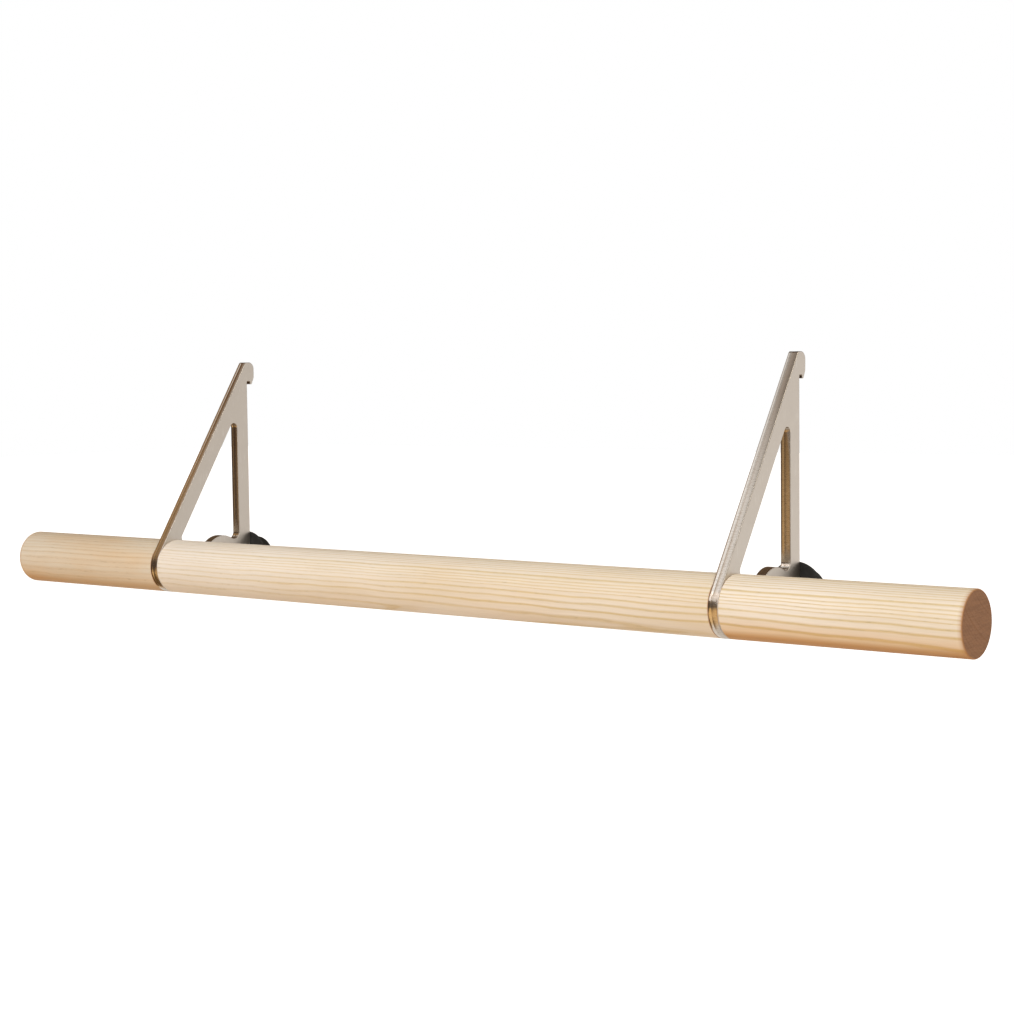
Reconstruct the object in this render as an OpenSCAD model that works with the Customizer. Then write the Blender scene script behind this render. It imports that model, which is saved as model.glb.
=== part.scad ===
// Wall-hung round bar on two hooked flat brackets.
// The bar is three turned wooden pieces with the eye of a bracket plate clamped in each joint.
// Frame: X along the bar, Y from the bar towards the wall, Z up.
// The origin is on the bar's axis, half way between the brackets.

/* [Bar] */
// Diameter of the wooden bar and of the bracket eyes that lie flush with it
bar_d = 50; // [46:1:54]
// Length over both end pieces
bar_len = 1025; // [900:5:1200]
// Distance between the middle planes of the two brackets
bracket_pitch = 622; // [560:0.5:700]
// Radius of the eased edge at the two outer ends
end_round = 1.5; // [0.5:0.25:3]
// Chamfer on the wood where it meets a plate
joint_chamfer = 0.3; // [0.2:0.1:0.6]

/* [Bracket plate] */
// Thickness of the plate
plate_t = 9; // [7:0.5:10]
// Height of the flat top above the bar's axis
top_z = 193.5; // [190:0.5:205]
// Distance from the bar's axis back to the rear face of the leg
leg_rear = 97.5; // [96:0.5:102]
// Width of the upright leg, front to rear
leg_w = 14.5; // [13:0.5:17]
// Lean of the brace's front edge from upright, in degrees
brace_lean = 33.1; // [32.6:0.1:33.6]
// How much less the brace's inner edge leans, in degrees
brace_taper = 0.3; // [0:0.1:1]
// Width of the brace beside the eye
brace_w = 16.2; // [14:0.1:18]
// Diameter of the round boss behind the eye
boss_d = 50; // [47:1:52]
// Distance from the bar's axis to the centre of the boss
boss_y = 60.5; // [59:0.5:62.5]
// Height of the neck that joins the eye to the boss
neck_h = 26; // [22:1:30]
// How far the leg reaches below the bar's axis
leg_foot = 26; // [24:0.5:28]

/* [Hook] */
// How far the nose stands out behind the leg
hook_reach = 9.6; // [9:0.2:11]
// Clear width of the slot behind the leg that the rail's edge enters
throat_w = 4.4; // [4.2:0.1:4.8]
// Height of the seat, the closed top of the slot, above the bar's axis
seat_z = 175; // [173:0.5:178]
// Depth of the slot below the seat
throat_depth = 3; // [2.5:0.5:5]

/* [Window corners] */
// Radius where the brace's inner edge meets the eye
brace_fillet_r = 4; // [3:0.5:6]
// Radius at the narrow top corner
apex_r = 4.5; // [3:0.5:5]
// Radius where the leg meets the boss, above and below
heel_r = 6.5; // [4:0.5:8]
under_heel_r = 3; // [2:0.5:4]
// Radius where the neck meets the eye and the boss
neck_fillet_r = 5; // [4:0.5:6]

/* [Buffer] */
// Diameter of the thin flange against the leg
flange_d = 53; // [50:0.5:54]
// Thickness of the flange
flange_t = 2; // [1.5:0.25:3]
// Diameter of the rubber body
buffer_d = 41; // [38:0.5:44]
// Distance from the leg's rear face to the buffer's rear face
buffer_len = 17.5; // [17:0.5:20]

/* [Fastenings] */
// Diameter of the threaded stud that pulls each bar joint together
stud_d = 12; // [10:1:12]
// Length of that stud
stud_len = 90; // [80:1:96]
// Outside diameter of the threaded inserts in the wood
insert_d = 16; // [16:0.5:18]
// Length of a threaded insert
insert_len = 28; // [24:1:30]
// Diameter of the pins that stop a bracket from turning
pin_d = 6; // [5:0.5:7]
// Length of those pins
pin_len = 24; // [20:1:28]
// Thread diameter of the buffer screw
screw_d = 5; // [4:0.5:5]
// Length of the buffer screw under its head
screw_len = 25; // [22:1:28]

/* [Hidden] */
$fn = 96;

LEFT = -1;
RIGHT = 1;
bar_r = bar_d / 2;
bracket_x = bracket_pitch / 2;
inner_x = bracket_x - plate_t / 2;
outer_x = bracket_x + plate_t / 2;
bar_end_x = bar_len / 2;

// Play between a fastening and its hole, on the radius
play = 0.05;
through = 1;
// Largest step between points on an arc, in degrees
arc_step = 5;

// Bar joints
clear_hole_d = stud_d + 1;
stud_bore_depth = stud_len / 2 - plate_t / 2 + 3;
stud_chamfer = 1;
insert_slot_w = 2;
insert_slot_depth = 2;
pin_circle_r = 15;
pin_places = [[0, pin_circle_r], [0, -pin_circle_r]];
pin_recess = 0.5;
pin_chamfer = 0.5;

// Bracket outline, drawn as (Y, Z)
boss_r = boss_d / 2;
boss_centre = [boss_y, 0];
neck_top = neck_h / 2;
leg_front = leg_rear - leg_w;
inner_lean = brace_lean - brace_taper;
inner_offset = bar_r - brace_w;
nose_back = leg_rear + hook_reach;
lip_z = seat_z - throat_depth;
lip_front = leg_rear + throat_w;
lip_tip_w = 2;
nose_taper_h = 6.5;
lip_inner_r = 0.5;
top_rear_r = 6.5;
top_front_r = 2.5;
nose_r = 6;
lip_tip_r = 0.7;
throat_top_r = 1;
leg_corner_r = 3;
brace_touch = 180 - brace_lean;
apex_z = (leg_front + inner_offset / cos(inner_lean)) / tan(inner_lean);
function side_of_right_angle(long_side, short_side) = sqrt(pow(long_side, 2) - pow(short_side, 2));
function mirrored(p) = [p[0], -p[1]];
// Centres of the fillets above the neck, beside the eye and beside the boss
fillet_rise = neck_top + neck_fillet_r;
eye_fillet = [side_of_right_angle(bar_r + neck_fillet_r, fillet_rise), fillet_rise];
boss_fillet = [boss_y - side_of_right_angle(boss_r + neck_fillet_r, fillet_rise), fillet_rise];
// Centre of a fillet between the boss and the leg
function heel_centre(r) =
    [leg_front - r, side_of_right_angle(boss_r + r, leg_front - r - boss_y)];
heel_fillet = heel_centre(heel_r);
under_heel_fillet = mirrored(heel_centre(under_heel_r));
// Where these fillets touch the boss, as angles about its centre
boss_front_touch = heading(boss_fillet - boss_centre);
boss_rear_touch = heading(heel_fillet - boss_centre);
boss_under_touch = heading(under_heel_fillet - boss_centre);
// Centre of the fillet between the brace's inner edge and the eye
brace_fillet = polar(
    bar_r + brace_fillet_r,
    acos((brace_fillet_r - inner_offset) / (bar_r + brace_fillet_r)) - inner_lean
);

// Buffer, with depths measured back from the leg's rear face
flange_edge_r = 0.8;
root_r = 1;
buffer_edge_r = 3;
washer_seat = 7;
washer_t = 1.6;
washer_d = 15.4;
recess_d = 16;
screw_head_d = 8.5;
screw_head_h = 5;
screw_socket_d = 4.6;
screw_socket_depth = 2.5;
tapped_depth = 19;

// Y on the line that leans back from upright, at distance off from the bar's axis on the front side
function lean_y(z, lean, off) = z * tan(lean) - off / cos(lean);
function unit(v) = v / norm(v);
function polar(r, angle) = r * [cos(angle), sin(angle)];
function heading(v) = atan2(v[1], v[0]);

// Points along an arc, in steps of about arc_step degrees
function arc(centre, r, from, to) =
    let (steps = max(2, ceil(abs(to - from) / arc_step)))
    [for (i = [0 : steps]) centre + polar(r, from + (to - from) * i / steps)];

// The arc of radius r that rounds the corner at, between the sides to before and after
function corner(before, at, after, r) =
    let (
        a = unit(before - at),
        b = unit(after - at),
        half = acos(a * b) / 2,
        centre = at + unit(a + b) * r / sin(half),
        start = heading(at + a * r / tan(half) - centre),
        turn = (180 - 2 * half) * sign(cross(-a, b))
    )
    arc(centre, r, start, start + turn);

function place(c) = [c[0], c[1]];

// Points of a path through corners [y, z, radius]. The first and last corner only give directions.
function rounded(corners) = [
    for (i = [1 : len(corners) - 2])
        each corners[i][2] > 0
            ? corner(place(corners[i - 1]), place(corners[i]), place(corners[i + 1]), corners[i][2])
            : [place(corners[i])]
];

// The same path closed on itself
function rounded_loop(corners) =
    rounded(concat([corners[len(corners) - 1]], corners, [corners[0]]));

wood = "BurlyWood";
steel = [0.72, 0.68, 0.63];
dark_rubber = [0.13, 0.13, 0.13];
zinc = [0.75, 0.76, 0.78];
brass = [0.80, 0.66, 0.36];

module on_side(side) {
    if (side == LEFT) mirror([1, 0, 0]) children();
    else children();
}

// A shape turned about the bar's axis, from an outline drawn as (X, radius)
module turned_x() {
    rotate([0, 90, 0]) rotate_extrude() mirror([1, -1]) children();
}

module rod_x(from_x, to_x, d) {
    translate([from_x, 0, 0]) rotate([0, 90, 0]) cylinder(d = d, h = to_x - from_x);
}

// A pin or stud with chamfered ends
module chamfered_rod_x(from_x, to_x, d, chamfer) {
    turned_x() polygon([
        [from_x, 0], [from_x, d / 2 - chamfer], [from_x + chamfer, d / 2],
        [to_x - chamfer, d / 2], [to_x, d / 2 - chamfer], [to_x, 0]
    ]);
}

// ---- wooden bar ----

// Holes in an end of a bar piece for the insert and the stud. face_x is the end, away = 1 or -1
// is the direction into the wood.
module joint_bores(face_x, away) {
    insert_end = face_x + away * (insert_len + play);
    stud_end = face_x + away * stud_bore_depth;
    outside = face_x - away * through;
    rod_x(min(outside, insert_end), max(outside, insert_end), insert_d + 2 * play);
    rod_x(min(outside, stud_end), max(outside, stud_end), clear_hole_d);
}

module bar_middle() {
    color(wood) difference() {
        chamfered_rod_x(-inner_x, inner_x, bar_d, joint_chamfer);
        for (side = [LEFT, RIGHT]) {
            joint_bores(side * inner_x, -side);
            on_side(side) pin_holes();
        }
    }
}

module pin_holes() {
    for (p = pin_places)
        translate([0, p[0], p[1]])
            rod_x(outer_x - pin_recess - pin_len - play, outer_x + through, pin_d + 2 * play);
}

module bar_end(side) {
    on_side(side) color(wood) difference() {
        turned_x() polygon(rounded_loop([
            [outer_x, 0, 0],
            [outer_x, bar_r - joint_chamfer, 0],
            [outer_x + joint_chamfer, bar_r, 0],
            [bar_end_x, bar_r, end_round],
            [bar_end_x, 0, 0]
        ]));
        joint_bores(outer_x, 1);
    }
}

// ---- bracket plate ----

// Edge along the under side, from the eye back to the leg
function under_edge() = concat(
    arc(mirrored(eye_fillet), neck_fillet_r, 180 - heading(eye_fillet), 90),
    arc(mirrored(boss_fillet), neck_fillet_r, 90, 180 - boss_front_touch),
    arc(boss_centre, boss_r, 360 - boss_front_touch, 360 + boss_under_touch),
    arc(under_heel_fillet, under_heel_r, 180 + boss_under_touch, 0)
);

// Outer edge: back along the under side, up the leg, round the hook, down the brace, round the eye
function outer_edge() = concat(
    under_edge(),
    rounded([
        [leg_front, 0, 0],
        [leg_front, -leg_foot, leg_corner_r],
        [leg_rear, -leg_foot, leg_corner_r],
        [leg_rear, seat_z, throat_top_r],
        [lip_front, seat_z, throat_top_r],
        [lip_front, lip_z, lip_inner_r],
        [lip_front + lip_tip_w, lip_z, lip_tip_r],
        [nose_back, lip_z + nose_taper_h, nose_r],
        [nose_back, top_z, top_rear_r],
        [lean_y(top_z, brace_lean, bar_r), top_z, top_front_r],
        concat(polar(bar_r, brace_touch), [0])
    ]),
    arc([0, 0], bar_r, brace_touch, 360 - heading(eye_fillet))
);

// Edge of the three-cornered window between brace, eye, neck, boss and leg
function window_edge() = concat(
    arc(brace_fillet, brace_fillet_r, 180 - inner_lean, 180 + heading(brace_fillet)),
    arc([0, 0], bar_r, heading(brace_fillet), heading(eye_fillet)),
    arc(eye_fillet, neck_fillet_r, 180 + heading(eye_fillet), 270),
    arc(boss_fillet, neck_fillet_r, 270, 180 + boss_front_touch),
    arc(boss_centre, boss_r, boss_front_touch, boss_rear_touch),
    arc(heel_fillet, heel_r, 180 + boss_rear_touch, 360),
    rounded([
        [leg_front, 0, 0],
        [leg_front, apex_z, apex_r],
        [lean_y(0, inner_lean, inner_offset), 0, 0]
    ])
);

module bracket(side) {
    on_side(side) color(steel) difference() {
        translate([inner_x, 0, 0]) rotate([90, 0, 90]) linear_extrude(plate_t) difference() {
            polygon(outer_edge());
            polygon(window_edge());
        }
        rod_x(inner_x - through, outer_x + through, clear_hole_d);
        pin_holes();
        translate([bracket_x, leg_rear + through, 0])
            rotate([90, 0, 0]) cylinder(d = screw_d + 2 * play, h = tapped_depth + through);
    }
}

// ---- fastenings in the bar joints ----

module joint_stud(side) {
    on_side(side) color(zinc)
        chamfered_rod_x(bracket_x - stud_len / 2, bracket_x + stud_len / 2, stud_d, stud_chamfer);
}

// Threaded insert with its driving slot in the end that faces the plate
module insert(side, face_x, away) {
    end_x = face_x + away * insert_len;
    on_side(side) color(brass) difference() {
        rod_x(min(face_x, end_x), max(face_x, end_x), insert_d);
        rod_x(min(face_x, end_x) - through, max(face_x, end_x) + through, stud_d + 2 * play);
        translate([face_x, 0, 0])
            cube([2 * insert_slot_depth, 2 * insert_d, insert_slot_w], center = true);
    }
}

module locating_pins(side) {
    on_side(side) color(zinc) for (p = pin_places)
        translate([0, p[0], p[1]])
            chamfered_rod_x(outer_x - pin_recess - pin_len, outer_x - pin_recess, pin_d, pin_chamfer);
}

// ---- buffers ----

// A shape turned about the buffer's axis, from an outline drawn as (radius, depth behind the leg)
module turned_buffer(side) {
    on_side(side) translate([bracket_x, leg_rear, 0]) rotate([-90, 0, 0]) rotate_extrude() children();
}

module buffer(side) {
    bore_r = screw_d / 2 + play;
    color(dark_rubber) turned_buffer(side) polygon(rounded_loop([
        [bore_r, 0, 0],
        [flange_d / 2, 0, flange_edge_r],
        [flange_d / 2, flange_t, flange_edge_r],
        [buffer_d / 2, flange_t, root_r],
        [buffer_d / 2, buffer_len, buffer_edge_r],
        [recess_d / 2, buffer_len, 0],
        [recess_d / 2, washer_seat, 0],
        [bore_r, washer_seat, 0]
    ]));
}

module buffer_washer(side) {
    color(zinc) turned_buffer(side)
        translate([screw_d / 2 + play, washer_seat])
            square([washer_d / 2 - screw_d / 2 - play, washer_t]);
}

module buffer_screw(side) {
    head_seat = washer_seat + washer_t;
    color(zinc) on_side(side) translate([bracket_x, leg_rear + head_seat, 0]) rotate([-90, 0, 0])
        difference() {
            union() {
                cylinder(d = screw_head_d, h = screw_head_h);
                translate([0, 0, -screw_len]) cylinder(d = screw_d, h = screw_len + through);
            }
            translate([0, 0, screw_head_h - screw_socket_depth])
                cylinder(d = screw_socket_d, h = screw_socket_depth + through, $fn = 6);
        }
}

bar_middle();
bar_end(LEFT);  // bar_end_left
bar_end(RIGHT);  // bar_end_right
bracket(LEFT);  // bracket_left
bracket(RIGHT);  // bracket_right
joint_stud(LEFT);  // joint_stud_left
joint_stud(RIGHT);  // joint_stud_right
insert(LEFT, inner_x, -1);  // insert_inner_left
insert(RIGHT, inner_x, -1);  // insert_inner_right
insert(LEFT, outer_x, 1);  // insert_outer_left
insert(RIGHT, outer_x, 1);  // insert_outer_right
locating_pins(LEFT);  // locating_pins_left
locating_pins(RIGHT);  // locating_pins_right
buffer(LEFT);  // buffer_left
buffer(RIGHT);  // buffer_right
buffer_washer(LEFT);  // buffer_washer_left
buffer_washer(RIGHT);  // buffer_washer_right
buffer_screw(LEFT);  // buffer_screw_left
buffer_screw(RIGHT);  // buffer_screw_right
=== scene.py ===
import cmath
import math

import bmesh
import bpy
from mathutils import Matrix, Vector, geometry


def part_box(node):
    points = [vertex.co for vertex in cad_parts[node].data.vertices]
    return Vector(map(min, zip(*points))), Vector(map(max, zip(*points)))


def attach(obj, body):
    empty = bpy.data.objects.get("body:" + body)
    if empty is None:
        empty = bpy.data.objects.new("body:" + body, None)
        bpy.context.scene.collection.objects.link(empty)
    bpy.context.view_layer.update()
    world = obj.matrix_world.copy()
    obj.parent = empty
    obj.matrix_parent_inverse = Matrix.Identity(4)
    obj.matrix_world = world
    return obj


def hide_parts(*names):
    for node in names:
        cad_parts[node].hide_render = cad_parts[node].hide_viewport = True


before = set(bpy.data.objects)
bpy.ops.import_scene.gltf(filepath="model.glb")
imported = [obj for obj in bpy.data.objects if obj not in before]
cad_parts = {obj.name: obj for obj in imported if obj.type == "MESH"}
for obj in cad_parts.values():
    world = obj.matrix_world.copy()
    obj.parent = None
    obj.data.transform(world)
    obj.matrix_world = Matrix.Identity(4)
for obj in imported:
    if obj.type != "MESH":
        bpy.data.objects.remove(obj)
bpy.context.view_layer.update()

BODY = "root"
SIDES = {"left": -1, "right": 1}
MM = 0.001


# ---------------------------------------------------------------- sizes, in millimetres

def box_mm(node):
    """The two far corners of a CAD node's box."""
    low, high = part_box(node)
    return low / MM, high / MM


plate_low, plate_high = box_mm("bracket_right")
buffer_low, buffer_high = box_mm("buffer_right")
head_low, head_high = box_mm("buffer_screw_right")
washer_low, washer_high = box_mm("buffer_washer_right")

INNER_X = plate_low.x
OUTER_X = plate_high.x
BRACKET_X = (INNER_X + OUTER_X) / 2
PLATE_T = OUTER_X - INNER_X

# Wooden bar
BAR_R = box_mm("bar_middle")[1].z
BAR_END_X = box_mm("bar_end_right")[1].x
BAR_SEGMENTS = 256
END_ROUND = 1.5
JOINT_CHAMFER = 0.3
INSERT_BORE_R = 8.05
INSERT_BORE_DEPTH = 28.05
STUD_BORE_R = 6.5
STUD_BORE_DEPTH = 43.5
PIN_HOLE_R = 3.05
PIN_HEIGHTS = (15.0, -15.0)
PIN_HOLE_DEPTH = 15.6

# Bracket outline, with leans in degrees from upright
TOP_Z = plate_high.z
NOSE_BACK = plate_high.y
FOOT_Z = plate_low.z
LEG_REAR = buffer_low.y
LEG_W = 14.5
LEG_FRONT = LEG_REAR - LEG_W
LEG_CORNER_R = 3.0
BRACE_LEAN = 33.1
INNER_LEAN = 32.8
BRACE_W = 16.2
INNER_OFFSET = BAR_R - BRACE_W
BOSS_R = 25.0
BOSS = complex(60.5, 0)
NECK_TOP = 13.0
SEAT_Z = 175.0
SEAT_R = 1.0
LIP_Z = 172.0
LIP_FRONT = LEG_REAR + 4.4
LIP_FRONT_R = 0.5
LIP_TIP_W = 2.0
LIP_TIP_R = 0.7
NOSE_TAPER_H = 6.5
NOSE_R = 6.0
TOP_REAR_R = 6.5
TOP_FRONT_R = 2.5
NECK_FILLET_R = 5.0
BRACE_FILLET_R = 4.0
HEEL_R = 6.5
UNDER_HEEL_R = 3.0
APEX_R = 4.5

# Bracket's cut edge, with its zone line as a share of the thickness
EDGE_BREAK = 0.45
BREAK_STEPS = 3
ZONE_LINE = 0.36
RIDGE_HALF_W = 0.25
SMOOTH_DEPTH, RIDGE_DEPTH, COARSE_DEPTH = 0.03, 0.09, 0.05

# Buffer, washer and screw, with depths measured back from the leg's rear face
FLANGE_R = buffer_high.z
FLANGE_T = 2.0
BUFFER_R = 20.5
BUFFER_LEN = buffer_high.y - buffer_low.y
RECESS_R = 8.0
BUFFER_BORE_R = 2.55
WASHER_SEAT = washer_low.y - LEG_REAR
WASHER_TOP = washer_high.y - LEG_REAR
WASHER_R = washer_high.z
WASHER_BORE_R = 2.65
SCREW_HEAD_R = head_high.z
SCREW_R = 2.5
SCREW_TOP = head_high.y - LEG_REAR
SCREW_TIP = head_low.y - LEG_REAR
SCREW_CHAMFER = 0.5
SCREW_GROOVES = 30
GROOVE_DEPTH = 0.22
SOCKET_R = 2.0
SOCKET_MOUTH_R = 2.6
SOCKET_DEPTH = 2.5
SOCKET_POINT = 3.3
TAPPED_DEPTH = 19.0

ARC_STEP = 2.5
SHORT_EDGE = 1e-4


# ---------------------------------------------------------------- plane outlines
# A point is a complex number, y + z j.

def polar(r, degrees):
    return cmath.rect(r, math.radians(degrees))


def heading(v):
    return math.degrees(cmath.phase(v))


def unit(v):
    return v / abs(v)


def arc(centre, r, start, stop):
    """Points along an arc, in steps of about ARC_STEP degrees."""
    steps = max(4, math.ceil(abs(stop - start) / ARC_STEP))
    return [centre + polar(r, start + (stop - start) * i / steps) for i in range(steps + 1)]


def corner(before, at, after, r):
    """The arc of radius r that rounds a corner between two straight sides."""
    a, b = unit(before - at), unit(after - at)
    half = math.acos((a * b.conjugate()).real) / 2
    centre = at + unit(a + b) * r / math.sin(half)
    start = heading(at + a * r / math.tan(half) - centre)
    turn = 180 - 2 * math.degrees(half)
    clockwise = ((-a).conjugate() * b).imag < 0
    return arc(centre, r, start, start - turn if clockwise else start + turn)


def rounded(corners):
    """A path through corners (point, radius). The first and last only give directions."""
    path = []
    for (before, _), (at, r), (after, _) in zip(corners, corners[1:], corners[2:]):
        path += corner(before, at, after, r) if r else [at]
    return path


def rounded_loop(corners):
    """The same for a closed loop."""
    return rounded([corners[-1], *corners, corners[0]])


def leaning_y(z, lean, offset):
    """Where a line that leans back passes height z, offset in front of one through the axis."""
    lean = math.radians(lean)
    return z * math.tan(lean) - offset / math.cos(lean)


def other_side(hypotenuse, side):
    """The other short side of a right-angled triangle."""
    return math.sqrt(hypotenuse ** 2 - side ** 2)


fillet_rise = NECK_TOP + NECK_FILLET_R
eye_fillet = complex(other_side(BAR_R + NECK_FILLET_R, fillet_rise), fillet_rise)
boss_fillet = complex(BOSS.real - other_side(BOSS_R + NECK_FILLET_R, fillet_rise), fillet_rise)


def heel_centre(r):
    """The centre of the fillet between the boss and the leg's front."""
    y = LEG_FRONT - r
    return complex(y, other_side(BOSS_R + r, y - BOSS.real))


heel_fillet = heel_centre(HEEL_R)
under_heel_fillet = heel_centre(UNDER_HEEL_R).conjugate()
boss_front_touch = heading(boss_fillet - BOSS)
boss_rear_touch = heading(heel_fillet - BOSS)
boss_under_touch = heading(under_heel_fillet - BOSS)
brace_fillet_reach = BAR_R + BRACE_FILLET_R
brace_fillet = polar(
    brace_fillet_reach,
    math.degrees(math.acos((BRACE_FILLET_R - INNER_OFFSET) / brace_fillet_reach)) - INNER_LEAN,
)
inner_tan = math.tan(math.radians(INNER_LEAN))
apex_z = (LEG_FRONT + INNER_OFFSET / math.cos(math.radians(INNER_LEAN))) / inner_tan
brace_touch = 180 - BRACE_LEAN


def under_edge():
    """From the eye back to the leg, along the under side."""
    return (
        arc(eye_fillet.conjugate(), NECK_FILLET_R, 180 - heading(eye_fillet), 90)
        + arc(boss_fillet.conjugate(), NECK_FILLET_R, 90, 180 - boss_front_touch)
        + arc(BOSS, BOSS_R, 360 - boss_front_touch, 360 + boss_under_touch)
        + arc(under_heel_fillet, UNDER_HEEL_R, 180 + boss_under_touch, 0)
    )


def outer_edge():
    """Back along the under side, up the leg, round the hook, down the brace, round the eye."""
    hook_and_leg = rounded([
        (complex(LEG_FRONT, 0), 0),
        (complex(LEG_FRONT, FOOT_Z), LEG_CORNER_R),
        (complex(LEG_REAR, FOOT_Z), LEG_CORNER_R),
        (complex(LEG_REAR, SEAT_Z), SEAT_R),
        (complex(LIP_FRONT, SEAT_Z), SEAT_R),
        (complex(LIP_FRONT, LIP_Z), LIP_FRONT_R),
        (complex(LIP_FRONT + LIP_TIP_W, LIP_Z), LIP_TIP_R),
        (complex(NOSE_BACK, LIP_Z + NOSE_TAPER_H), NOSE_R),
        (complex(NOSE_BACK, TOP_Z), TOP_REAR_R),
        (complex(leaning_y(TOP_Z, BRACE_LEAN, BAR_R), TOP_Z), TOP_FRONT_R),
        (polar(BAR_R, brace_touch), 0),
    ])
    eye = arc(0, BAR_R, brace_touch, 360 - heading(eye_fillet))
    return under_edge() + hook_and_leg + eye


def window_edge():
    """Round the three-cornered window between brace, eye, neck, boss and leg."""
    return (
        arc(brace_fillet, BRACE_FILLET_R, 180 - INNER_LEAN, 180 + heading(brace_fillet))
        + arc(0, BAR_R, heading(brace_fillet), heading(eye_fillet))
        + arc(eye_fillet, NECK_FILLET_R, 180 + heading(eye_fillet), 270)
        + arc(boss_fillet, NECK_FILLET_R, 270, 180 + boss_front_touch)
        + arc(BOSS, BOSS_R, boss_front_touch, boss_rear_touch)
        + arc(heel_fillet, HEEL_R, 180 + boss_rear_touch, 360)
        + rounded([
            (complex(LEG_FRONT, 0), 0),
            (complex(LEG_FRONT, apex_z), APEX_R),
            (complex(leaning_y(0, INNER_LEAN, INNER_OFFSET), 0), 0),
        ])
    )


def without_repeats(loop):
    return [p for i, p in enumerate(loop) if abs(p - loop[i - 1]) > SHORT_EDGE]


def area(loop):
    return sum((a.conjugate() * b).imag for a, b in zip(loop, loop[1:] + loop[:1])) / 2


def inset(loop, distance):
    """The loop moved to its left by distance, which is into the metal."""
    moved = []
    for i, p in enumerate(loop):
        before = unit(p - loop[i - 1])
        after = unit(loop[(i + 1) % len(loop)] - p)
        normal = unit(before + after) * 1j
        moved.append(p + normal * distance / (normal * (before * 1j).conjugate()).real)
    return moved


# ---------------------------------------------------------------- meshes

def new_object(name, bm, materials):
    bmesh.ops.recalc_face_normals(bm, faces=bm.faces)
    mesh = bpy.data.meshes.new(name)
    bm.to_mesh(mesh)
    bm.free()
    for material in materials:
        mesh.materials.append(material)
    obj = bpy.data.objects.new(name, mesh)
    bpy.context.scene.collection.objects.link(obj)
    return obj


def cut(obj, cutters):
    """Cuts closed shapes out of obj and removes them."""
    for cutter in cutters:
        modifier = obj.modifiers.new("cut", "BOOLEAN")
        modifier.operation = "DIFFERENCE"
        modifier.solver = "EXACT"
        modifier.object = cutter
    evaluated = obj.evaluated_get(bpy.context.evaluated_depsgraph_get())
    mesh = bpy.data.meshes.new_from_object(evaluated)
    obj.modifiers.clear()
    obj.data = mesh
    mesh.name = obj.name
    for cutter in cutters:
        bpy.data.objects.remove(cutter)


def turned(name, profile, materials, axis, origin=(0, 0, 0), segments=192, loop=False,
           sharp_degrees=35):
    """A shape turned about axis, X or Y, from (distance along it, radius) points, in millimetres.
    A radius may be a function of the angle. The ends close on the axis, or loop closes the
    profile on itself."""
    bm = bmesh.new()
    origin = Vector(origin)
    rings = []
    for along, radius in profile:
        ring = []
        for i in range(segments):
            angle = math.tau * i / segments
            r = radius(angle) if callable(radius) else radius
            if r == 0:
                ring = [0]
                break
            ring.append(r)
        points = []
        for i, r in enumerate(ring):
            angle = math.tau * i / segments
            across, up = r * math.cos(angle), r * math.sin(angle)
            place = (along, across, up) if axis == "X" else (across, along, up)
            points.append(bm.verts.new((origin + Vector(place)) * MM))
        rings.append(points)
    pairs = list(zip(rings, rings[1:]))
    if loop:
        pairs.append((rings[-1], rings[0]))
    for a, b in pairs:
        for i in range(segments):
            j = (i + 1) % segments
            corners = [a[i % len(a)], a[j % len(a)], b[j % len(b)], b[i % len(b)]]
            face = bm.faces.new(list(dict.fromkeys(corners)))
            face.smooth = True
    obj = new_object(name, bm, materials)
    obj.data.set_sharp_from_angle(angle=math.radians(sharp_degrees))
    return obj


def rod(name, start, stop, radius, axis, origin):
    return turned(name, [(start, 0), (start, radius), (stop, radius), (stop, 0)], [], axis, origin,
                  segments=64)


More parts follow.
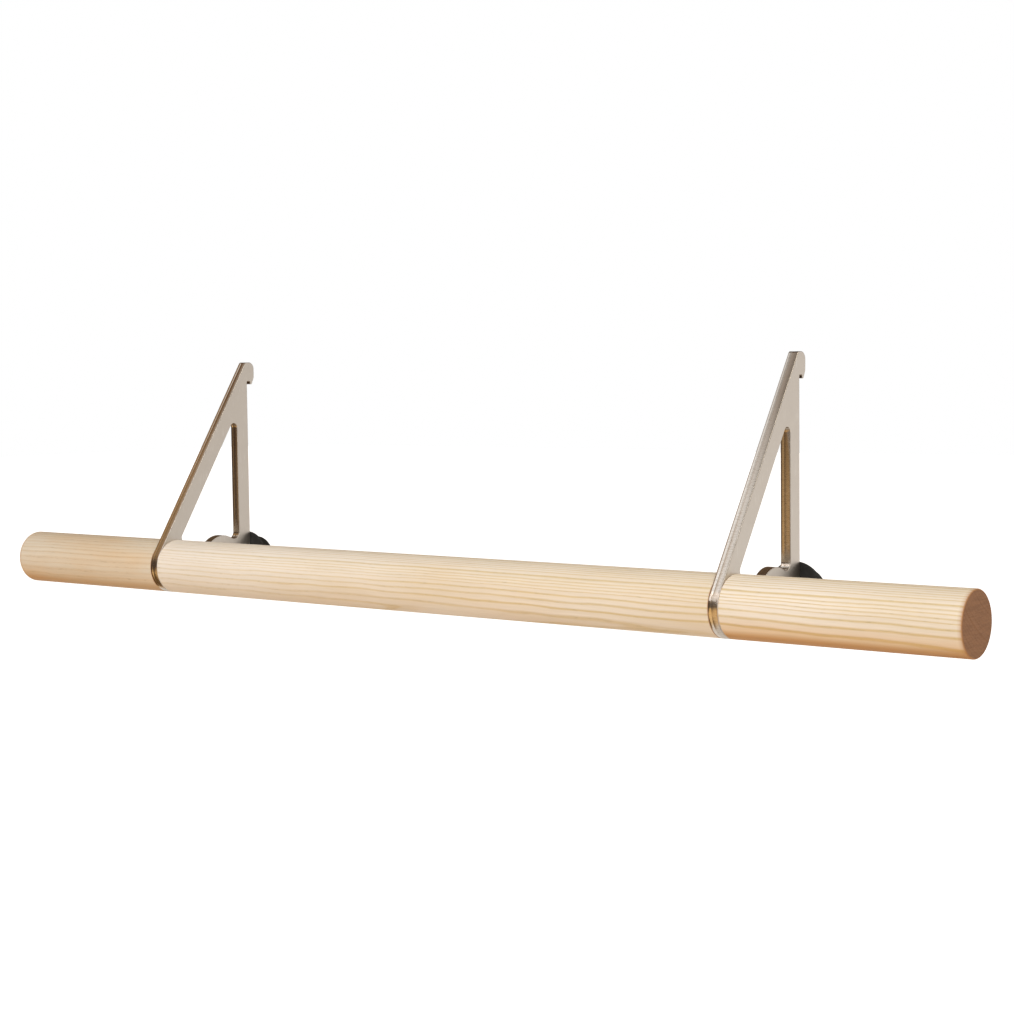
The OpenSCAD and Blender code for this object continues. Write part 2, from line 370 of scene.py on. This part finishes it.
def plate(name, loops, low_x, high_x, face_material, edge_material):
    """A flat plate with broken edges. Its cut edge has two zones, as a laser leaves it."""
    bm = bmesh.new()
    uv = bm.loops.layers.uv.new("path")
    thickness = high_x - low_x
    ridge_x = thickness * ZONE_LINE
    turns = [math.pi / 2 * i / BREAK_STEPS for i in range(BREAK_STEPS + 1)]
    low_break = [(EDGE_BREAK * (1 - math.cos(t)), EDGE_BREAK * (1 - math.sin(t))) for t in turns]
    high_break = [(thickness - x, depth) for x, depth in reversed(low_break)]
    ridge = [(ridge_x - RIDGE_HALF_W, SMOOTH_DEPTH), (ridge_x, RIDGE_DEPTH),
             (ridge_x + RIDGE_HALF_W, COARSE_DEPTH)]
    rings = low_break + ridge + high_break
    cut_strips = range(BREAK_STEPS, BREAK_STEPS + len(ridge) + 1)

    cap_low, cap_high = [], []
    for number, loop in enumerate(loops):
        loop = without_repeats(loop)
        if (area(loop) > 0) != (number == 0):
            loop = loop[::-1]
        count = len(loop)
        verts = []
        for x, depth in rings:
            points = inset(loop, depth)
            verts.append([bm.verts.new(Vector((low_x + x, p.real, p.imag)) * MM) for p in points])
        lengths = [0]
        for i in range(count):
            lengths.append(lengths[-1] + abs(loop[(i + 1) % count] - loop[i]))
        for k in range(len(rings) - 1):
            for i in range(count):
                j = (i + 1) % count
                face = bm.faces.new([verts[k][i], verts[k][j], verts[k + 1][j], verts[k + 1][i]])
                face.smooth = True
                face.material_index = int(k in cut_strips)
                across = (rings[k][0], rings[k][0], rings[k + 1][0], rings[k + 1][0])
                along = (lengths[i], lengths[i + 1], lengths[i + 1], lengths[i])
                for corner_loop, u, v in zip(face.loops, along, across):
                    corner_loop[uv].uv = (u * MM, v * MM)
        cap_low.append(verts[0])
        cap_high.append(verts[-1])
        for ring in (verts[0], verts[-1]):
            for i in range(count):
                bm.edges.get((ring[i], ring[(i + 1) % count])).smooth = False
    for cap in (cap_low, cap_high):
        flat = [v for ring in cap for v in ring]
        for triangle in geometry.tessellate_polygon([[v.co for v in ring] for ring in cap]):
            face = bm.faces.new([flat[i] for i in triangle])
            for corner_loop in face.loops:
                corner_loop[uv].uv = corner_loop.vert.co.yz
    return new_object(name, bm, [face_material, edge_material])


# ---------------------------------------------------------------- materials

class Graph:
    """A material's nodes. An input may be a number, a colour, a vector or another node's output."""

    def __init__(self, name):
        self.material = bpy.data.materials.new(name)
        self.material.use_nodes = True
        self.tree = self.material.node_tree
        self.shader = self.tree.nodes["Principled BSDF"]
        self.coordinates = self.add("ShaderNodeTexCoord")

    def add(self, kind, values=None, **settings):
        node = self.tree.nodes.new(kind)
        for key, value in settings.items():
            setattr(node, key, value)
        for key, value in (values or {}).items():
            self.put(node.inputs[key], value)
        return node

    def put(self, socket, value):
        if isinstance(value, bpy.types.NodeSocket):
            self.tree.links.new(value, socket)
        elif socket.type == "RGBA" and len(value) == 3:
            socket.default_value = (*value, 1)
        else:
            socket.default_value = value

    def set(self, **values):
        for key, value in values.items():
            self.put(self.shader.inputs[key.replace("_", " ")], value)

    def math(self, operation, *values, clamp=False):
        node = self.add("ShaderNodeMath", dict(enumerate(values)), operation=operation)
        node.use_clamp = clamp
        return node.outputs[0]

    def scaled(self, vector, scale, shift=(0, 0, 0), turn=(0, 0, 0)):
        values = {"Vector": vector, "Scale": scale, "Location": shift, "Rotation": turn}
        return self.add("ShaderNodeMapping", values).outputs[0]

    def noise(self, vector, scale=1.0, detail=3.0, roughness=0.5):
        values = {"Vector": vector, "Scale": scale, "Detail": detail, "Roughness": roughness}
        return self.add("ShaderNodeTexNoise", values).outputs["Fac"]

    def ramp(self, value, stops, interpolation="LINEAR"):
        node = self.add("ShaderNodeValToRGB", {"Fac": value})
        node.color_ramp.interpolation = interpolation
        elements = node.color_ramp.elements
        while len(elements) < len(stops):
            elements.new(0.5)
        for element, (position, colour) in zip(elements, stops):
            element.position = position
            element.color = (*colour, 1) if hasattr(colour, "__len__") else (colour,) * 3 + (1,)
        return node.outputs["Color"]

    def mix(self, factor, a, b, blend="MIX"):
        node = self.add("ShaderNodeMix", data_type="RGBA", blend_type=blend)
        self.put(node.inputs[0], factor)
        self.put(node.inputs[6], a)
        self.put(node.inputs[7], b)
        return node.outputs[2]

    def span(self, value, low, high, start=0.0, stop=1.0):
        """value from start..stop to low..high."""
        values = {"Value": value, "From Min": start, "From Max": stop, "To Min": low,
                  "To Max": high}
        return self.add("ShaderNodeMapRange", values).outputs[0]

    def bump(self, height, distance, strength=1.0):
        values = {"Height": height, "Distance": distance, "Strength": strength}
        self.put(self.shader.inputs["Normal"], self.add("ShaderNodeBump", values).outputs[0])


def ash(name, shift, blushing, pale, honey, rings_apart, pith, drift, heart):
    """Ash with its growth rings round a pith line outside the bar, so that the sides show long
    fine lines, the lower side broader waves and the ends arcs. The lines are fainter towards the
    left. pith is where that line passes the bar's middle and drift how it slants, shift is a
    place in the noise, blushing sets the warm patches and the last argument the painted shade
    and warm bounce light on the low side. All of it is worked out from the place in the wood."""
    g = Graph(name)
    place = g.coordinates.outputs["Object"]
    moved = g.add("ShaderNodeVectorMath", {0: place, 1: shift}, operation="ADD").outputs[0]
    axes = g.add("ShaderNodeSeparateXYZ", {0: place})
    x, y, z = axes.outputs

    # Distance from the pith line, bent by slow waves along the trunk
    across_y = g.math("ADD", y, g.math("MULTIPLY_ADD", x, drift[0], -pith[0] * MM))
    across_z = g.math("ADD", z, g.math("MULTIPLY_ADD", x, drift[1], -pith[1] * MM))
    squares = g.math("ADD", g.math("POWER", across_y, 2.0), g.math("POWER", across_z, 2.0))
    distance = g.math("SQRT", squares)
    slow = g.noise(g.scaled(moved, (2.2, 10, 10)), detail=1.0)
    quick = g.noise(g.scaled(moved, (12, 50, 50)), detail=2.0)
    bent = g.math("MULTIPLY_ADD", slow, 6.0 * MM, distance)
    bent = g.math("MULTIPLY_ADD", quick, 2.8 * MM, bent)
    count = g.math("DIVIDE", bent, rings_apart * MM)
    uneven = g.add("ShaderNodeTexNoise", {"W": count, "Scale": 0.33}, noise_dimensions="1D")
    count = g.math("MULTIPLY_ADD", uneven.outputs["Fac"], 1.2, count)

    # One ring: a dark porous line of early wood that fades into pale late wood
    within = g.math("FRACT", count)
    number = g.math("FLOOR", count)
    early = g.ramp(within, [
        (0.0, 0.35), (0.08, 1.0), (0.21, 0.85), (0.38, 0.12), (0.84, 0.0), (1.0, 0.35),
    ], "EASE")
    each = g.add("ShaderNodeTexWhiteNoise", {"W": number}, noise_dimensions="1D").outputs["Value"]
    broken = g.noise(g.scaled(moved, (9, 70, 70)), detail=3.0)
    strength = g.math("MULTIPLY", g.span(each, 0.6, 1.1), g.span(broken, 0.55, 1.45))
    contrast = g.span(x, 0.5, 1.2, start=-300 * MM, stop=100 * MM)
    line = g.math("MULTIPLY", g.math("MULTIPLY", early, strength), contrast, clamp=True)

    fibres = g.noise(g.scaled(moved, (55, 1500, 1500)), detail=4.0, roughness=0.65)
    clouds = g.noise(g.scaled(moved, (4, 22, 22)), detail=2.0)
    streaks = g.noise(g.scaled(moved, (6, 300, 300)), detail=3.0, roughness=0.6)
    pores = g.ramp(g.noise(g.scaled(moved, (130, 2600, 2600)), detail=1.0),
                   [(0.60, 0.0), (0.70, 1.0)])
    pore_lines = g.math("MULTIPLY", pores, early)

    tan_tone = tuple(a * 0.90 * t for a, t in zip(pale, (1.0, 0.95, 0.86)))
    colour = g.mix(g.ramp(clouds, [(0.35, 0.0), (0.7, 1.0)]), pale, tan_tone)
    colour = g.mix(line, colour, honey)
    blush = g.ramp(g.noise(g.scaled(moved, (7, 26, 26), (0.6, 0.2, 0.4)), detail=3.0),
                   [(0.46, 0.0), (0.66, 1.0)])
    colour = g.mix(g.math("MULTIPLY", blush, blushing), colour, (0.98, 0.80, 0.60), "MULTIPLY")
    # Painted shade and warm bounce light: the low side of the bar is darkened and warmed, most at
    # the bottom edge.
    depth = g.math("MULTIPLY_ADD", z, -1.0 / (BAR_R * MM), g.span(clouds, 0.16, -0.16))
    low_side = g.ramp(depth, [(0.14, 0.0), (0.36, 0.24), (0.64, 0.58), (0.80, 1.0)])
    colour = g.mix(g.math("MULTIPLY", low_side, heart), colour, (0.96, 0.67, 0.37), "MULTIPLY")
    lowest = g.ramp(depth, [(0.60, 0.0), (0.86, 1.0)])
    colour = g.mix(g.math("MULTIPLY", lowest, heart), colour, (0.66, 0.53, 0.38), "MULTIPLY")
    colour = g.mix(g.math("MULTIPLY", pore_lines, 0.45), colour, tuple(c * 0.55 for c in honey))
    shade = g.math("MULTIPLY", g.span(fibres, 0.90, 1.08), g.span(streaks, 0.93, 1.06))
    grey = g.add("ShaderNodeCombineColor", {0: shade, 1: shade, 2: shade}).outputs[0]
    side_colour = g.mix(1.0, colour, grey, "MULTIPLY")

    # Cut across the fibres the wood drinks more oil and turns brown; the brown is made darker still
    # as painted shade on the end faces
    normal = g.add("ShaderNodeSeparateXYZ", {0: g.coordinates.outputs["Normal"]})
    turned_out = g.math("ABSOLUTE", normal.outputs[0])
    end_on = g.ramp(turned_out, [(0.55, 0.0), (0.93, 1.0)])
    cells = g.noise(g.scaled(place, (900, 900, 900)), detail=3.0, roughness=0.7)
    end_line = g.math("MULTIPLY", early, g.span(each, 0.05, 0.30))
    end_colour = g.mix(end_line, (0.385, 0.195, 0.10), (0.245, 0.115, 0.055))
    sawn = g.noise(g.scaled(place, (1, 90, 900), turn=(math.radians(35), 0, 0)), detail=3.0)
    saw_marks = g.ramp(sawn, [(0.40, 0.35), (0.60, 0.0)])
    end_colour = g.mix(saw_marks, end_colour, (0.22, 0.11, 0.06))
    open_cells = g.ramp(cells, [(0.45, 0.0), (0.70, 0.35)])
    end_colour = g.mix(open_cells, end_colour, (0.19, 0.09, 0.045))
    colour = g.mix(end_on, side_colour, end_colour)

    # The rim soaks up the most
    along = g.math("DIVIDE", g.math("ABSOLUTE", x), BAR_END_X * MM)
    rim = g.math("MAXIMUM", g.ramp(turned_out, [(0.25, 0.0), (0.55, 0.8)]),
                 g.ramp(along, [(0.9955, 0.0), (0.9975, 0.8)]))
    rim = g.math("MULTIPLY", rim, g.ramp(turned_out, [(0.90, 1.0), (0.985, 0.0)]))
    g.set(Base_Color=g.mix(rim, colour, (0.46, 0.22, 0.09)))

    rough = g.math("MULTIPLY_ADD", line, 0.10, g.span(fibres, 0.40, 0.56))
    g.set(Roughness=g.math("MULTIPLY_ADD", end_on, 0.2, rough))
    g.set(Specular_IOR_Level=0.32)
    height = g.math("MULTIPLY_ADD", pore_lines, -1.0, g.math("MULTIPLY", fibres, 0.6))
    height = g.math("MULTIPLY_ADD", early, -0.35, height)
    g.bump(height, 0.06 * MM, 0.8)
    return g.material


def satin_steel():
    """The plate's faces: rolled, pickled and lightly brushed stainless."""
    g = Graph("satin_steel")
    place = g.coordinates.outputs["Object"]
    brushed = g.noise(g.scaled(place, (3000, 2200, 60)), detail=3.0, roughness=0.6)
    grains = g.noise(place, scale=1700.0, detail=2.0)
    clouds = g.noise(place, scale=38.0, detail=4.0, roughness=0.6)
    marks = g.ramp(g.noise(g.scaled(place, (500, 900, 70), (0.3, 0.1, 0.7)), detail=2.0),
                   [(0.64, 0.0), (0.70, 1.0)])
    colour = g.mix(clouds, (0.56, 0.515, 0.465), (0.68, 0.635, 0.585))
    colour = g.mix(g.math("MULTIPLY", marks, 0.35), colour, (0.76, 0.73, 0.70))
    g.set(Base_Color=colour, Metallic=1.0)
    rough = g.math("MULTIPLY_ADD", clouds, 0.10, g.span(grains, 0.30, 0.42))
    g.set(Roughness=g.math("MULTIPLY_ADD", marks, -0.08, rough))
    height = g.math("MULTIPLY_ADD", grains, 0.8, brushed)
    g.bump(g.math("MULTIPLY_ADD", marks, -0.6, height), 0.012 * MM, 0.7)
    return g.material


def cut_steel():
    """The laser-cut edge: fine striations across the thickness, smooth on one side of a line and
    coarse on the other, with painted shade that darkens it towards the hook at the top and along
    both borders. UV is the place along the edge and across it, in metres."""
    g = Graph("cut_steel")
    path = g.coordinates.outputs["UV"]
    v = g.add("ShaderNodeSeparateXYZ", {0: path}).outputs[1]
    across = g.math("DIVIDE", v, PLATE_T * MM)
    zone = g.ramp(across, [(ZONE_LINE - 0.03, 0.0), (ZONE_LINE + 0.04, 1.0)])
    fine = g.noise(g.scaled(path, (2600, 90, 1)), detail=2.0)
    coarse = g.noise(g.scaled(path, (950, 160, 1)), detail=4.0, roughness=0.65)
    stria = g.mix(zone, fine, coarse)
    tint = g.noise(g.scaled(path, (60, 160, 1)), detail=3.0)
    colour = g.mix(tint, (0.70, 0.675, 0.645), (0.83, 0.81, 0.785))
    colour = g.mix(g.math("MULTIPLY", zone, 0.42), colour, (0.45, 0.41, 0.37))
    height = g.add("ShaderNodeSeparateXYZ", {0: g.coordinates.outputs["Object"]}).outputs[2]
    # Painted shade standing in for dark reflections up high: the edge gets darker with height, from
    # 80 to 160 mm.
    handled = g.span(height, 0.0, 1.0, start=80 * MM, stop=160 * MM)
    colour = g.mix(g.math("MULTIPLY", handled, g.math("MULTIPLY_ADD", zone, 0.50, 0.16)),
                   colour, (0.21, 0.145, 0.095))
    colour = g.mix(g.math("MULTIPLY", g.ramp(stria, [(0.35, 1.0), (0.5, 0.0)]), 0.45),
                   colour, (0.33, 0.28, 0.23))
    # Painted shade: both borders of the cut edge are darkened, standing in for the dark reflections
    # of their rounded edges.
    borders = g.ramp(across, [(0.04, 1.0), (0.12, 0.0), (0.88, 0.0), (0.95, 1.0)])
    colour = g.mix(g.math("MULTIPLY", borders, 0.75), colour, (0.17, 0.14, 0.11))
    g.set(Base_Color=colour, Metallic=1.0)
    g.set(Roughness=g.math("MULTIPLY_ADD", zone, 0.08, g.span(tint, 0.10, 0.17)))
    g.bump(g.math("MULTIPLY", stria, g.span(zone, 0.6, 1.3)), 0.015 * MM, 0.3)
    return g.material


def black_rubber():
    """Moulded rubber with a fine skin and a little dust."""
    g = Graph("black_rubber")
    place = g.coordinates.outputs["Object"]
    skin = g.noise(place, scale=1400.0, detail=3.0, roughness=0.7)
    dust = g.noise(place, scale=120.0, detail=5.0, roughness=0.7)
    dust = g.ramp(dust, [(0.45, 0.0), (0.75, 1.0)])
    g.set(Base_Color=g.mix(dust, (0.010, 0.011, 0.012), (0.028, 0.029, 0.030)))
    g.set(Roughness=g.math("MULTIPLY_ADD", dust, 0.2, g.span(skin, 0.48, 0.62)))
    g.set(Specular_IOR_Level=0.4)
    g.bump(skin, 0.05 * MM, 0.6)
    return g.material


def plated(name, dark, light, rough_low, rough_high):
    """A small turned metal part: zinc-plated steel or brass."""
    g = Graph(name)
    place = g.coordinates.outputs["Object"]
    spangle = g.noise(place, scale=650.0, detail=3.0, roughness=0.6)
    tool_marks = g.noise(g.scaled(place, (2800, 260, 260)), detail=2.0)
    g.set(Base_Color=g.mix(spangle, dark, light), Metallic=1.0)
    g.set(Roughness=g.span(spangle, rough_low, rough_high))
    g.bump(g.math("ADD", tool_marks, spangle), 0.02 * MM, 0.5)
    return g.material


STEEL = satin_steel()
CUT_STEEL = cut_steel()
RUBBER = black_rubber()
ZINC = plated("zinc_plate", (0.55, 0.56, 0.58), (0.78, 0.79, 0.81), 0.22, 0.36)
BRASS = plated("turned_brass", (0.62, 0.42, 0.16), (0.82, 0.62, 0.30), 0.20, 0.34)
SAME_TREE = dict(pale=(0.87, 0.83, 0.78), honey=(0.70, 0.58, 0.355), rings_apart=2.9,
                 pith=(68.0, 98.0), drift=(0.003, 0.006))
ASH = {
    "bar_middle": ash("ash_middle", shift=(0.0, 0.0, 0.0), blushing=0.15, heart=0.15, **SAME_TREE),
    "bar_end_left": ash("ash_left", shift=(3.1, 0.4, 0.2), blushing=0.55, heart=0.65,
                        pale=(0.755, 0.69, 0.59), honey=(0.63, 0.475, 0.27), rings_apart=3.6,
                        pith=(75.0, 92.0), drift=(-0.01, 0.006)),
    "bar_end_right": ash("ash_right", shift=(7.7, 0.2, 0.6), blushing=0.1, heart=1.0, **SAME_TREE),
}


# ---------------------------------------------------------------- pieces

def finish_piece(obj, node):
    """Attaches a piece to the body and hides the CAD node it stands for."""
    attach(obj, BODY)
    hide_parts(node)
    return obj


def joint_bore(face_x, away):
    """The profile into a joint's bores, from the bar's rim at face_x to the axis."""
    return [
        (face_x + away * JOINT_CHAMFER, BAR_R),
        (face_x, BAR_R - JOINT_CHAMFER),
        (face_x, INSERT_BORE_R),
        (face_x + away * INSERT_BORE_DEPTH, INSERT_BORE_R),
        (face_x + away * INSERT_BORE_DEPTH, STUD_BORE_R),
        (face_x + away * STUD_BORE_DEPTH, STUD_BORE_R),
        (face_x + away * STUD_BORE_DEPTH, 0),
    ]


def bar_middle():
    profile = joint_bore(-INNER_X, 1)[::-1] + joint_bore(INNER_X, -1)
    bar = turned("ash_bar_middle", profile, [ASH["bar_middle"]], "X",
                 segments=BAR_SEGMENTS)
    holes = [
        rod("pin_hole", sign * (INNER_X - PIN_HOLE_DEPTH), sign * (INNER_X + 1), PIN_HOLE_R, "X",
            (0, 0, height))
        for sign in SIDES.values() for height in PIN_HEIGHTS
    ]
    cut(bar, holes)
    bar.data.set_sharp_from_angle(angle=math.radians(35))
    return finish_piece(bar, "bar_middle")


def bar_end(side):
    sign = SIDES[side]
    eased = arc(complex(BAR_END_X - END_ROUND, BAR_R - END_ROUND), END_ROUND, 90, 0)
    profile = joint_bore(OUTER_X, 1)[::-1]
    profile += [(p.real, p.imag) for p in eased] + [(BAR_END_X, 0)]
    profile = [(sign * x, r) for x, r in profile]
    name = f"bar_end_{side}"
    bar = turned(f"ash_{name}", profile, [ASH[name]], "X", segments=BAR_SEGMENTS)
    return finish_piece(bar, name)


def round_hole(centre, r):
    return arc(centre, r, 0, 360)[:-1]


def bracket(side):
    sign = SIDES[side]
    loops = [outer_edge(), window_edge(), round_hole(0, STUD_BORE_R)]
    loops += [round_hole(complex(0, height), PIN_HOLE_R) for height in PIN_HEIGHTS]
    low_x, high_x = sorted((sign * INNER_X, sign * OUTER_X))
    obj = plate(f"hook_plate_{side}", loops, low_x, high_x, STEEL, CUT_STEEL)
    hole = rod("tapped_hole", -TAPPED_DEPTH, 1.0, BUFFER_BORE_R, "Y",
               (sign * BRACKET_X, LEG_REAR, 0))
    cut(obj, [hole])
    return finish_piece(obj, f"bracket_{side}")


def buffer(side):
    section = rounded_loop([
        (complex(0, BUFFER_BORE_R), 0.0),
        (complex(0, FLANGE_R), 0.8),
        (complex(FLANGE_T, FLANGE_R), 0.8),
        (complex(FLANGE_T, BUFFER_R), 1.0),
        (complex(BUFFER_LEN, BUFFER_R), 3.0),
        (complex(BUFFER_LEN, RECESS_R), 0.4),
        (complex(WASHER_SEAT, RECESS_R), 0.0),
        (complex(WASHER_SEAT, BUFFER_BORE_R), 0.0),
    ])
    profile = [(p.real, p.imag) for p in section]
    obj = turned(f"rubber_buffer_{side}", profile, [RUBBER], "Y",
                 (SIDES[side] * BRACKET_X, LEG_REAR, 0), segments=160, loop=True)
    return finish_piece(obj, f"buffer_{side}")


def washer(side):
    section = rounded_loop([
        (complex(WASHER_SEAT, WASHER_BORE_R), 0.15),
        (complex(WASHER_SEAT, WASHER_R), 0.2),
        (complex(WASHER_TOP, WASHER_R), 0.45),
        (complex(WASHER_TOP, WASHER_BORE_R), 0.15),
    ])
    profile = [(p.real, p.imag) for p in section]
    obj = turned(f"plain_washer_{side}", profile, [ZINC], "Y",
                 (SIDES[side] * BRACKET_X, LEG_REAR, 0), segments=96, loop=True)
    return finish_piece(obj, f"buffer_washer_{side}")


def knurl(angle):
    """The side of a screw's head, with fine grooves."""
    wave = abs((angle / math.tau * SCREW_GROOVES) % 1 - 0.5) * 2
    return SCREW_HEAD_R - GROOVE_DEPTH * wave ** 2


def hexagon(angle):
    """Distance to the wall of the hexagonal socket."""
    sector = math.radians(60)
    return SOCKET_R / math.cos((angle + sector / 2) % sector - sector / 2)


def socket_screw(side):
    profile = [
        (SCREW_TIP, 0),
        (SCREW_TIP, SCREW_R - SCREW_CHAMFER),
        (SCREW_TIP + SCREW_CHAMFER, SCREW_R),
        (WASHER_TOP, SCREW_R),
        (WASHER_TOP, SCREW_HEAD_R - 0.3),
        (WASHER_TOP + 0.3, knurl),
        (SCREW_TOP - 0.9, knurl),
        (SCREW_TOP - 0.4, SCREW_HEAD_R - 0.25),
        (SCREW_TOP, SCREW_HEAD_R - 0.7),
        (SCREW_TOP, SOCKET_MOUTH_R),
        (SCREW_TOP - 0.3, hexagon),
        (SCREW_TOP - SOCKET_DEPTH, hexagon),
        (SCREW_TOP - SOCKET_POINT, 0),
    ]
    obj = turned(f"socket_screw_{side}", profile, [ZINC], "Y",
                 (SIDES[side] * BRACKET_X, LEG_REAR, 0), segments=240, sharp_degrees=28)
    return finish_piece(obj, f"buffer_screw_{side}")


def make_pieces():
    bar_middle()
    for side in SIDES:
        bar_end(side)
        bracket(side)
        buffer(side)
        washer(side)
        socket_screw(side)
    inner_materials = {"joint_stud": ZINC, "locating_pins": ZINC, "insert": BRASS}
    for name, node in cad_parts.items():
        for kind, material in inner_materials.items():
            if name.startswith(kind):
                node.data.materials.clear()
                node.data.materials.append(material)


# ---------------------------------------------------------------- floor, light and camera

FLOOR_Z = -2.6
FLOOR_HALF = 60.0
WHITE, WARM, AMBER = (1.0, 0.985, 0.965), (1.0, 0.86, 0.66), (1.0, 0.82, 0.62)
CAMERA_PLACE = (1.1039, -1.2746, 0.1751)
YAW, PITCH, ROLL = (math.radians(a) for a in (38.34, -3.74, 0.69))


def pale_floor_material():
    g = Graph("pale_floor")
    tone = g.noise(g.coordinates.outputs["Object"], scale=1.5, detail=2.0)
    g.set(Base_Color=g.mix(tone, (0.90, 0.90, 0.89), (0.92, 0.92, 0.92)), Roughness=0.9)
    g.set(Emission_Color=(1.0, 1.0, 1.0), Emission_Strength=1.0)
    return g.material


def floor():
    bm = bmesh.new()
    corners = [(-1, -1), (1, -1), (1, 1), (-1, 1)]
    bm.faces.new([bm.verts.new((x * FLOOR_HALF, y * FLOOR_HALF, FLOOR_Z)) for x, y in corners])
    obj = new_object("floor", bm, [pale_floor_material()])
    obj.visible_diffuse = False
    obj.visible_glossy = False


def softbox(name, centre, target, size, energy, colour):
    """A rectangular light at centre that faces target."""
    light = bpy.data.lights.new(name, "AREA")
    light.shape = "RECTANGLE"
    light.size, light.size_y = size
    light.energy = energy
    light.color = colour
    obj = bpy.data.objects.new(name, light)
    obj.location = centre
    facing = Vector(target) - Vector(centre)
    obj.rotation_euler = facing.to_track_quat("-Z", "Y").to_euler()
    obj.visible_camera = False
    bpy.context.scene.collection.objects.link(obj)


def studio_world():
    """What the object reflects: a pale neutral room with a bright wall behind on the right, and a
    dim warm corner with a bright strip high up in front on the left. The camera itself sees
    white."""
    world = bpy.data.worlds.new("studio")
    world.use_nodes = True
    bpy.context.scene.world = world
    nodes, links = world.node_tree.nodes, world.node_tree.links
    direction = nodes.new("ShaderNodeTexCoord").outputs["Generated"]

    def fraction(value, low, high, smooth=True):
        node = nodes.new("ShaderNodeMapRange")
        node.interpolation_type = "SMOOTHSTEP" if smooth else "LINEAR"
        links.new(value, node.inputs["Value"])
        node.inputs["From Min"].default_value = low
        node.inputs["From Max"].default_value = high
        return node.outputs[0]

    def towards(x, y, z, low, high):
        """1 where the direction is near x, y, z and 0 elsewhere."""
        node = nodes.new("ShaderNodeVectorMath")
        node.operation = "DOT_PRODUCT"
        links.new(direction, node.inputs[0])
        node.inputs[1].default_value = Vector((x, y, z)).normalized()
        return fraction(node.outputs["Value"], low, high)

    def mixed(factor, base, colour):
        """base where factor is 0, and colour, a colour or an output, where it is 1."""
        node = nodes.new("ShaderNodeMix")
        node.data_type = "RGBA"
        links.new(factor, node.inputs[0])
        links.new(base, node.inputs[6])
        if isinstance(colour, tuple):
            node.inputs[7].default_value = (*colour, 1)
        else:
            links.new(colour, node.inputs[7])
        return node.outputs[2]

    split = nodes.new("ShaderNodeSeparateXYZ")
    links.new(direction, split.inputs[0])
    height = fraction(split.outputs[2], -1.0, 1.0, smooth=False)

    def by_height(stops):
        """A colour for each height, from straight down at 0 to straight up at 1."""
        ramp = nodes.new("ShaderNodeValToRGB")
        links.new(height, ramp.inputs[0])
        elements = ramp.color_ramp.elements
        while len(elements) < len(stops):
            elements.new(0.5)
        for element, (position, colour) in zip(elements, stops):
            element.position = position
            element.color = (*colour, 1)
        return ramp.outputs[0]

    room = by_height([
        (0.00, (0.82, 0.73, 0.63)),
        (0.40, (0.78, 0.71, 0.63)),
        (0.47, (0.55, 0.51, 0.47)),
        (0.52, (0.24, 0.22, 0.20)),
        (0.75, (0.30, 0.28, 0.26)),
        (0.86, (0.62, 0.60, 0.57)),
        (1.00, (0.55, 0.52, 0.48)),
    ])
    corner = by_height([
        (0.00, (0.95, 0.86, 0.75)),
        (0.06, (0.95, 0.84, 0.70)),
        (0.13, (0.88, 0.57, 0.27)),
        (0.44, (0.96, 0.56, 0.21)),
        (0.475, (0.31, 0.20, 0.10)),
        (0.50, (0.15, 0.105, 0.07)),
        (0.58, (0.14, 0.10, 0.07)),
        (0.78, (0.40, 0.235, 0.10)),
        (0.83, (0.42, 0.25, 0.115)),
        (0.862, (1.15, 1.11, 1.06)),
        (0.880, (1.12, 1.08, 1.03)),
        (0.897, (0.92, 0.87, 0.81)),
        (0.915, (0.38, 0.33, 0.28)),
        (1.00, (0.55, 0.52, 0.48)),
    ])
    seen = mixed(towards(-0.86, -0.51, 0.0, 0.44, 0.57), room, corner)
    seen = mixed(towards(0.40, 0.91, 0.0, 0.74, 0.99), seen, (1.14, 1.09, 1.03))
    seen = mixed(towards(-0.85, -0.20, -0.49, 0.885, 0.945), seen, (0.17, 0.085, 0.03))
    seen = mixed(towards(-0.80, -0.60, 0.0, 0.92, 0.985), seen, (0.09, 0.055, 0.035))
    seen = mixed(towards(-0.45, 0.70, 0.55, 0.45, 0.72), seen, (0.13, 0.08, 0.045))
    camera_ray = nodes.new("ShaderNodeLightPath").outputs["Is Camera Ray"]
    links.new(mixed(camera_ray, seen, (1.0, 1.0, 1.0)), nodes["Background"].inputs["Color"])


def camera():
    """The view from the right and a little above, worked out from the bar's perspective."""
    data = bpy.data.cameras.new("camera")
    data.sensor_width = 36.0
    data.lens = 70.05
    data.clip_start, data.clip_end = 0.05, 200
    forward = Vector((-math.sin(YAW) * math.cos(PITCH), math.cos(YAW) * math.cos(PITCH),
                      math.sin(PITCH)))
    right = Vector((math.cos(YAW), math.sin(YAW), 0))
    down = forward.cross(right)
    turned_right = right * math.cos(ROLL) + down * math.sin(ROLL)
    turned_down = down * math.cos(ROLL) - right * math.sin(ROLL)
    axes = Matrix((turned_right, -turned_down, -forward)).transposed().to_4x4()
    obj = bpy.data.objects.new("camera", data)
    obj.matrix_world = Matrix.Translation(CAMERA_PLACE) @ axes
    bpy.context.scene.collection.objects.link(obj)
    bpy.context.scene.camera = obj


def studio():
    floor()
    studio_world()
    softbox("key", (0.25, -1.90, 1.15), (0.0, 0.0, 0.05), (1.1, 1.3), 23.3, WHITE)
    softbox("accent", (-0.68, -1.28, 1.00), (0.31, 0.0, 0.05), (0.7, 0.92), 1.95, WHITE)
    softbox("overhead", (1.10, -0.15, 1.75), (0.4, 0.0, 0.0), (1.3, 0.9), 11, WARM)
    softbox("fill", (0.60, -1.60, -0.90), (0.0, 0.0, 0.0), (1.2, 1.2), 6.5, AMBER)
    settings = bpy.context.scene.view_settings
    settings.view_transform = "Standard"
    settings.look = "None"
    settings.exposure = 0.0
    settings.gamma = 1.0


camera()
make_pieces()
studio()
